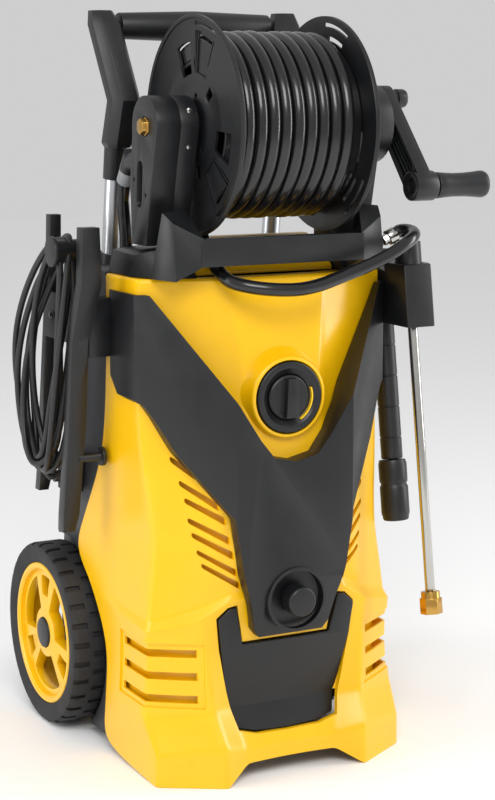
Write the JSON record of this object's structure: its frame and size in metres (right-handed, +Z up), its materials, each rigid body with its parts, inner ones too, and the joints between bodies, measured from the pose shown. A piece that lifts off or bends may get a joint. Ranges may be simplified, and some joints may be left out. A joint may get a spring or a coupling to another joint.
{
  "type": "pressure washer",
  "caption": "Upright electric pressure washer with hose reel and crank, telescopic handle, wheels, detergent tank, cord hook and side-mounted lances.",
  "frame": {"origin": "middle of the footprint of the machine's box without its cords, on the floor", "axes": "+X to the right seen from the front, where the crank is; +Y from the front to the back, towards the wheels; +Z up"},
  "size_m": [0.481, 0.449, 0.855],
  "materials": {
    "yellow_shell": "satin moulded yellow",
    "black_plastic": "fine grained satin black",
    "grey_plastic": "fine grained dark grey",
    "pale_grey": "pale grey moulded",
    "rubber": "matt black",
    "tyre": "matt black moulded tread",
    "hose": "smooth glossy black",
    "aluminium": "brushed satin",
    "steel": "bright",
    "brass": "turned",
    "cast_aluminium": "as cast"
  },
  "bodies": {
    "chassis": {"front_shell": "yellow_shell", "rear_shell": "grey_plastic", "v_panel": "black_plastic", "top_frame": "black_plastic", "deck_panel": "yellow_shell", "reel_bracket_left": "black_plastic", "bracket_cover_left": "grey_plastic", "reel_bracket_right": "black_plastic", "inlet_swivel": "brass", "feed_nut": "pale_grey", "axle": "steel", "handle_guide_left": "black_plastic", "handle_guide_right": "black_plastic", "switch_bezel": "black_plastic", "switch_box": "grey_plastic", "base_plate": "grey_plastic", "pump_head": "brass", "pump_body": "cast_aluminium", "motor_stator": "cast_aluminium", "motor_end_bell": "cast_aluminium", "water_inlet": "brass", "feed_hose": "hose", "cord_hook": "black_plastic", "lance_holder": "black_plastic", "foot_pad_left": "rubber", "foot_pad_right": "rubber", "mains_hank": "rubber", "strain_relief": "rubber", "mains_plug": "rubber", "hose_tail": "hose", "hose_fitting": "steel"},
    "reel": {"reel_flange_left": "black_plastic", "reel_flange_right": "black_plastic", "reel_core": "black_plastic", "crank_arm": "black_plastic", "wound_hose": "hose"},
    "crank_grip": {"crank_grip": "black_plastic"},
    "wheel_left": {"tyre_left": "tyre", "rim_left": "yellow_shell"},
    "wheel_right": {"tyre_right": "tyre", "rim_right": "yellow_shell"},
    "handle": {"handle_arm_left": "black_plastic", "handle_arm_right": "black_plastic", "handle_grip": "black_plastic", "handle_tube_left": "aluminium", "handle_tube_right": "aluminium"},
    "switch": {"switch_knob": "black_plastic"},
    "dosing": {"dosing_knob": "black_plastic"},
    "tank": {"detergent_tank": "black_plastic"},
    "steel_lance": {"lance_sleeve": "black_plastic", "lance_tube": "steel", "lance_coupler": "brass"},
    "vario_lance": {"vario_lance": "black_plastic"},
    "vario_nozzle": {"vario_nozzle": "black_plastic"},
    "rotor": {"rotor_shaft": "steel", "wobble_plate": "steel", "motor_fan": "black_plastic"},
    "piston_1": {"piston_1": "steel"},
    "piston_2": {"piston_2": "steel"},
    "piston_3": {"piston_3": "steel"}
  },
  "joints": [
    {"name": "reel_turns", "type": "hinge", "parent": "chassis", "child": "reel", "pos_m": [-0.0205, -0.1045, 0.726], "axis": [1, 0, 0], "continuous": true},
    {"name": "crank_grip_spins", "type": "hinge", "parent": "reel", "child": "crank_grip", "pos_m": [0.1995, -0.1642, 0.65732], "axis": [1, 0, 0], "continuous": true},
    {"name": "wheel_left_rolls", "type": "hinge", "parent": "chassis", "child": "wheel_left", "pos_m": [-0.1855, 0.114, 0.1105], "axis": [1, 0, 0], "continuous": true},
    {"name": "wheel_right_rolls", "type": "hinge", "parent": "chassis", "child": "wheel_right", "pos_m": [0.1445, 0.114, 0.1105], "axis": [1, 0, 0], "continuous": true},
    {"name": "handle_extends", "type": "slide", "parent": "chassis", "child": "handle", "axis": [0, -0.1464, 0.9892], "range_m": [0, 0.15]},
    {"name": "switch_turns", "type": "hinge", "parent": "chassis", "child": "switch", "pos_m": [-0.0205, -0.1775, 0.43], "axis": [0, -1, 0], "range_deg": [-90, 0]},
    {"name": "dosing_turns", "type": "hinge", "parent": "chassis", "child": "dosing", "pos_m": [-0.0205, -0.1975, 0.205], "axis": [0, -1, 0], "range_deg": [0, 270]},
    {"name": "tank_slides_out", "type": "slide", "parent": "chassis", "child": "tank", "axis": [0, -1, 0], "range_m": [0, 0.12]},
    {"name": "steel_lance_lifts", "type": "slide", "parent": "chassis", "child": "steel_lance", "axis": [0, 0.1483, 0.9889], "range_m": [0, 0.06]},
    {"name": "vario_lance_lifts", "type": "slide", "parent": "chassis", "child": "vario_lance", "axis": [0, 0.1483, 0.9889], "range_m": [0, 0.12]},
    {"name": "vario_nozzle_turns", "type": "hinge", "parent": "vario_lance", "child": "vario_nozzle", "pos_m": [0.1595, -0.10555, 0.3], "axis": [0, 0.1483, 0.9889], "range_deg": [0, 120]},
    {"name": "rotor_spins", "type": "hinge", "parent": "chassis", "child": "rotor", "pos_m": [-0.0205, 0.0325, 0.2], "axis": [0, 0, 1], "continuous": true},
    {"name": "piston_1_strokes", "type": "slide", "parent": "chassis", "child": "piston_1", "axis": [0, 0, 1], "range_m": [-0.006, 0], "stiffness_N_per_m": 2000, "springref_m": 0.002},
    {"name": "piston_2_strokes", "type": "slide", "parent": "chassis", "child": "piston_2", "axis": [0, 0, 1], "range_m": [-0.006, 0], "stiffness_N_per_m": 2000, "springref_m": 0.002},
    {"name": "piston_3_strokes", "type": "slide", "parent": "chassis", "child": "piston_3", "axis": [0, 0, 1], "range_m": [-0.006, 0], "stiffness_N_per_m": 2000, "springref_m": 0.002}
  ]
}
